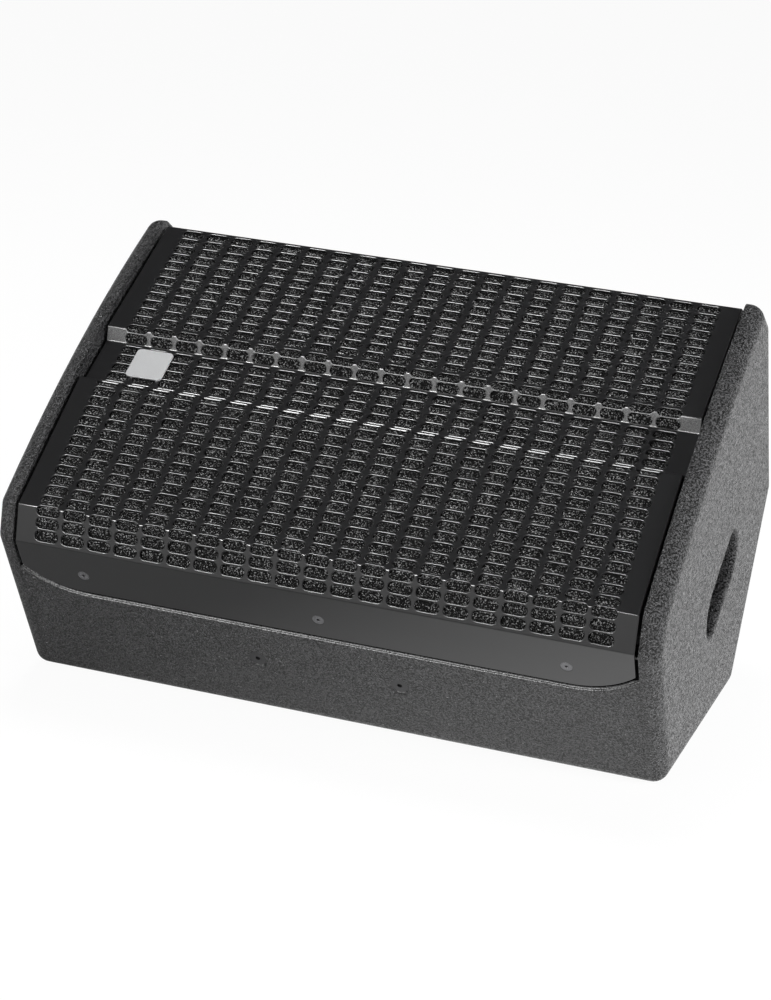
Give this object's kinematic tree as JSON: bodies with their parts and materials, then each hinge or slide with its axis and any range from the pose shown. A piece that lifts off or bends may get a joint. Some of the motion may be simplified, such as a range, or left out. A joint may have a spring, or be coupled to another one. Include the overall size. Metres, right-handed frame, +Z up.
{
  "type": "stage monitor wedge",
  "caption": "Floor-standing stage monitor wedge with a folded slotted steel grille, recessed end handle, woofer, horn and amplifier panel.",
  "frame": {"origin": "on the floor, in the middle of the cabinet's length and of its depth", "axes": "+X along the cabinet towards the end with the handle, +Y from the front towards the back, +Z up; the sloping front faces -Y and +Z"},
  "size_m": [0.6, 0.45, 0.3818],
  "materials": {
    "textured_paint": "hard black textured coating on plywood, fine raised grain",
    "bare_plywood": "birch plywood, sealed, not painted",
    "baffle_paint": "birch plywood with one thin coat of flat black",
    "moulded_plastic": "black moulded plastic with a fine grain",
    "grille_steel": "black powder coat on punched steel sheet",
    "acoustic_foam": "black open-cell acoustic foam",
    "badge_aluminium": "satin silver plate, left blank",
    "zinc_screws": "zinc-plated steel",
    "black_screws": "blackened steel",
    "rubber": "moulded black rubber",
    "cast_frame": "black-coated die casting",
    "foam_gasket": "closed-cell gasket strip",
    "magnet_steel": "turned steel, passivated",
    "ferrite": "ground grey-black ferrite",
    "paper_cone": "pressed paper pulp, black",
    "coil_copper": "wound copper wire on a former",
    "cloth_surround": "doped cloth half roll",
    "spider_cloth": "corrugated resin-dipped cloth",
    "diaphragm_foil": "thin formed foil dome",
    "panel_paint": "smooth dark powder coat",
    "bare_aluminium": "extruded, mill finish",
    "circuit_board": "green lacquered glass-fibre board",
    "transformer_wrap": "amber insulating tape over the winding",
    "capacitor_sleeve": "dark shrink sleeve",
    "rocker_plastic": "smooth black rocker",
    "knob_plastic": "black knob with a raised pointer",
    "lamp_lens": "small green lens"
  },
  "bodies": {
    "cabinet": {"end_plate_right": "textured_paint", "end_plate_left": "textured_paint", "front_wall": "textured_paint", "floor_wall": "textured_paint", "rear_wall": "textured_paint", "top_wall": "textured_paint", "baffle": "baffle_paint", "brace": "bare_plywood", "port_tubes": "moulded_plastic", "handle_cup": "moulded_plastic", "pole_socket": "moulded_plastic", "grille": "grille_steel", "foam": "acoustic_foam", "badge": "badge_aluminium", "cabinet_screws": "zinc_screws", "rigging_bolts": "black_screws", "rigging_nuts": "zinc_screws", "feet": "rubber", "woofer_basket": "cast_frame", "woofer_gasket": "foam_gasket", "woofer_top_plate": "magnet_steel", "woofer_magnet": "ferrite", "woofer_yoke": "magnet_steel", "woofer_surround": "cloth_surround", "woofer_spider": "spider_cloth", "driver_screws": "black_screws", "horn": "moulded_plastic", "driver_front_plate": "magnet_steel", "driver_magnet": "ferrite", "driver_pole": "magnet_steel", "driver_cover": "moulded_plastic", "driver_diaphragm": "diaphragm_foil", "amp_panel": "panel_paint", "heatsink": "bare_aluminium", "amp_board": "circuit_board", "transformer": "transformer_wrap", "capacitors": "capacitor_sleeve", "mains_inlet": "moulded_plastic", "switch_housing": "moulded_plastic", "level_pot": "zinc_screws", "input_socket": "moulded_plastic", "link_socket": "moulded_plastic", "amp_screws": "black_screws", "status_lamp": "lamp_lens"},
    "woofer_cone_assembly": {"woofer_cone": "paper_cone", "woofer_dust_cap": "paper_cone", "woofer_voice_coil": "coil_copper"},
    "level_knob": {"level_knob": "knob_plastic", "level_shaft": "bare_aluminium"},
    "power_rocker": {"power_rocker": "rocker_plastic"},
    "input_latch": {"input_latch": "zinc_screws"}
  },
  "joints": [
    {"name": "cone_stroke", "type": "slide", "parent": "cabinet", "child": "woofer_cone_assembly", "axis": [0, -0.515, 0.8572], "range_m": [-0.006, 0.006], "stiffness_N_per_m": 1200, "deforming": ["woofer_surround", "woofer_spider"]},
    {"name": "level_turn", "type": "hinge", "parent": "cabinet", "child": "level_knob", "pos_m": [-0.047, 0.18904, 0.12038], "axis": [0, -0.8829, 0.4695], "range_deg": [0, 280]},
    {"name": "power_rock", "type": "hinge", "parent": "cabinet", "child": "power_rocker", "pos_m": [0.082, 0.19079, 0.12624], "axis": [1, 0, 0], "range_deg": [-16, 0]},
    {"name": "latch_press", "type": "slide", "parent": "cabinet", "child": "input_latch", "axis": [0, -0.8829, 0.4695], "range_m": [0, 0.0015], "stiffness_N_per_m": 600}
  ]
}
